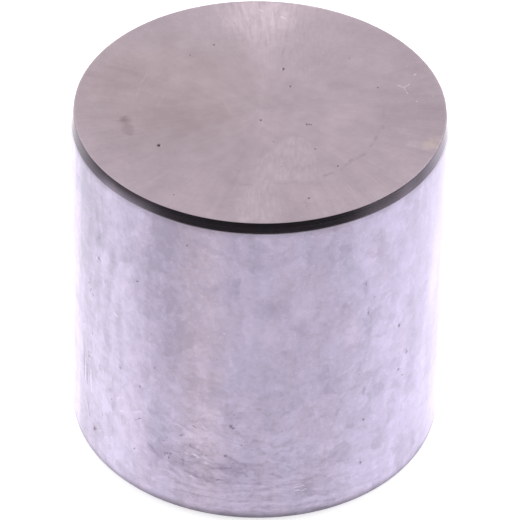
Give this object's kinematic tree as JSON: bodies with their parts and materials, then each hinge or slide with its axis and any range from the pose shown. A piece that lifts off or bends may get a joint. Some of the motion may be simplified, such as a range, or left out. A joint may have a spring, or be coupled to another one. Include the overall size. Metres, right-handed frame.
{
  "type": "valve shim",
  "caption": "Cap-type valve shim: a short hardened steel thimble with a thick ground crown and a blind socket for the tip of a valve stem.",
  "frame": {"origin": "centre of the open rim that the shim stands on", "axes": "+Z along the axis, from the open rim towards the ground crown"},
  "size_m": [0.01, 0.01, 0.0102],
  "materials": {
    "hardened_steel": "ground crown, bright rim bevel, tumbled side"
  },
  "bodies": {
    "root": {"valve_shim": "hardened_steel"}
  },
  "joints": []
}
